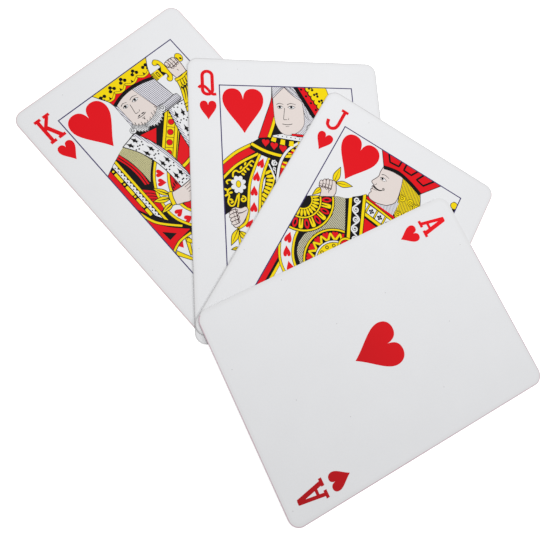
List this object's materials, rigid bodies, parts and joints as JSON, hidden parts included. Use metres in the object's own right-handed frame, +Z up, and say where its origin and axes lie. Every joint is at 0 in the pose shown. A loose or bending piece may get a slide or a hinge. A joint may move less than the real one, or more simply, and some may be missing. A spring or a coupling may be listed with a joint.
{
  "type": "playing card deck",
  "caption": "Fan of loose pasteboard playing cards in the heart suit, squared up or spread by turning each card on the one below near its lower left corner.",
  "frame": {"origin": "middle of the king's underside, the face that lies on the table", "axes": "+Z up through the stack of cards, +Y along the king's long edge towards its head, +X to the king's right"},
  "size_m": [0.1171, 0.1647, 0.0014],
  "materials": {
    "face_paper": "coated white, printed",
    "back_paper": "coated, printed lattice",
    "paste": "dark opaque paste"
  },
  "bodies": {
    "king": {"king_back_ply": "back_paper", "king_paste_core": "paste", "king_face_ply": "face_paper"},
    "queen": {"queen_back_ply": "back_paper", "queen_paste_core": "paste", "queen_face_ply": "face_paper"},
    "jack": {"jack_back_ply": "back_paper", "jack_paste_core": "paste", "jack_face_ply": "face_paper"},
    "ace": {"ace_back_ply": "back_paper", "ace_paste_core": "paste", "ace_face_ply": "face_paper"}
  },
  "joints": [
    {"name": "queen_swivel", "type": "hinge", "parent": "king", "child": "queen", "pos_m": [-0.02845, -0.03865, 0.00033], "axis": [0, 0, 1], "range_deg": [-50, 40]},
    {"name": "jack_swivel", "type": "hinge", "parent": "queen", "child": "jack", "pos_m": [-0.02606, -0.04249, 0.00069], "axis": [0, 0, 1], "range_deg": [-57, 33]},
    {"name": "ace_swivel", "type": "hinge", "parent": "jack", "child": "ace", "pos_m": [-0.0275, -0.04084, 0.00105], "axis": [0, 0, 1], "range_deg": [-56, 34]}
  ]
}
